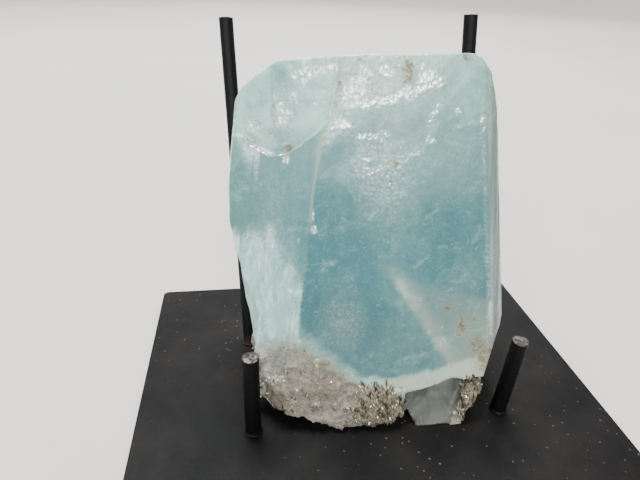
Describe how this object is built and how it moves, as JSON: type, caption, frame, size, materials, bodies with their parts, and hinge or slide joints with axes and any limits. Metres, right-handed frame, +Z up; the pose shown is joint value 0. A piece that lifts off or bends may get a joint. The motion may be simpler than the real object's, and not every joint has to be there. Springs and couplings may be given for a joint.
{
  "type": "mineral specimen on stand",
  "caption": "Stout translucent aquamarine crystal with a granular matrix foot, leaning back on a black steel plate stand with upright rods.",
  "frame": {"origin": "centre of the base plate's underside", "axes": "+X to the right seen from the front, +Y to the back, +Z up out of the plate"},
  "size_m": [0.2032, 0.1637, 0.1545],
  "materials": {
    "aquamarine": "cloudy, satin, translucent",
    "coated_steel_plate": "fine textured black coat",
    "coated_steel_rod": "satin black coat, bare cut ends"
  },
  "bodies": {
    "root": {"aquamarine_crystal": "aquamarine", "base_plate": "coated_steel_plate", "post_front_left": "coated_steel_rod", "post_front_right": "coated_steel_rod", "post_back_left": "coated_steel_rod", "post_back_right": "coated_steel_rod"}
  },
  "joints": []
}
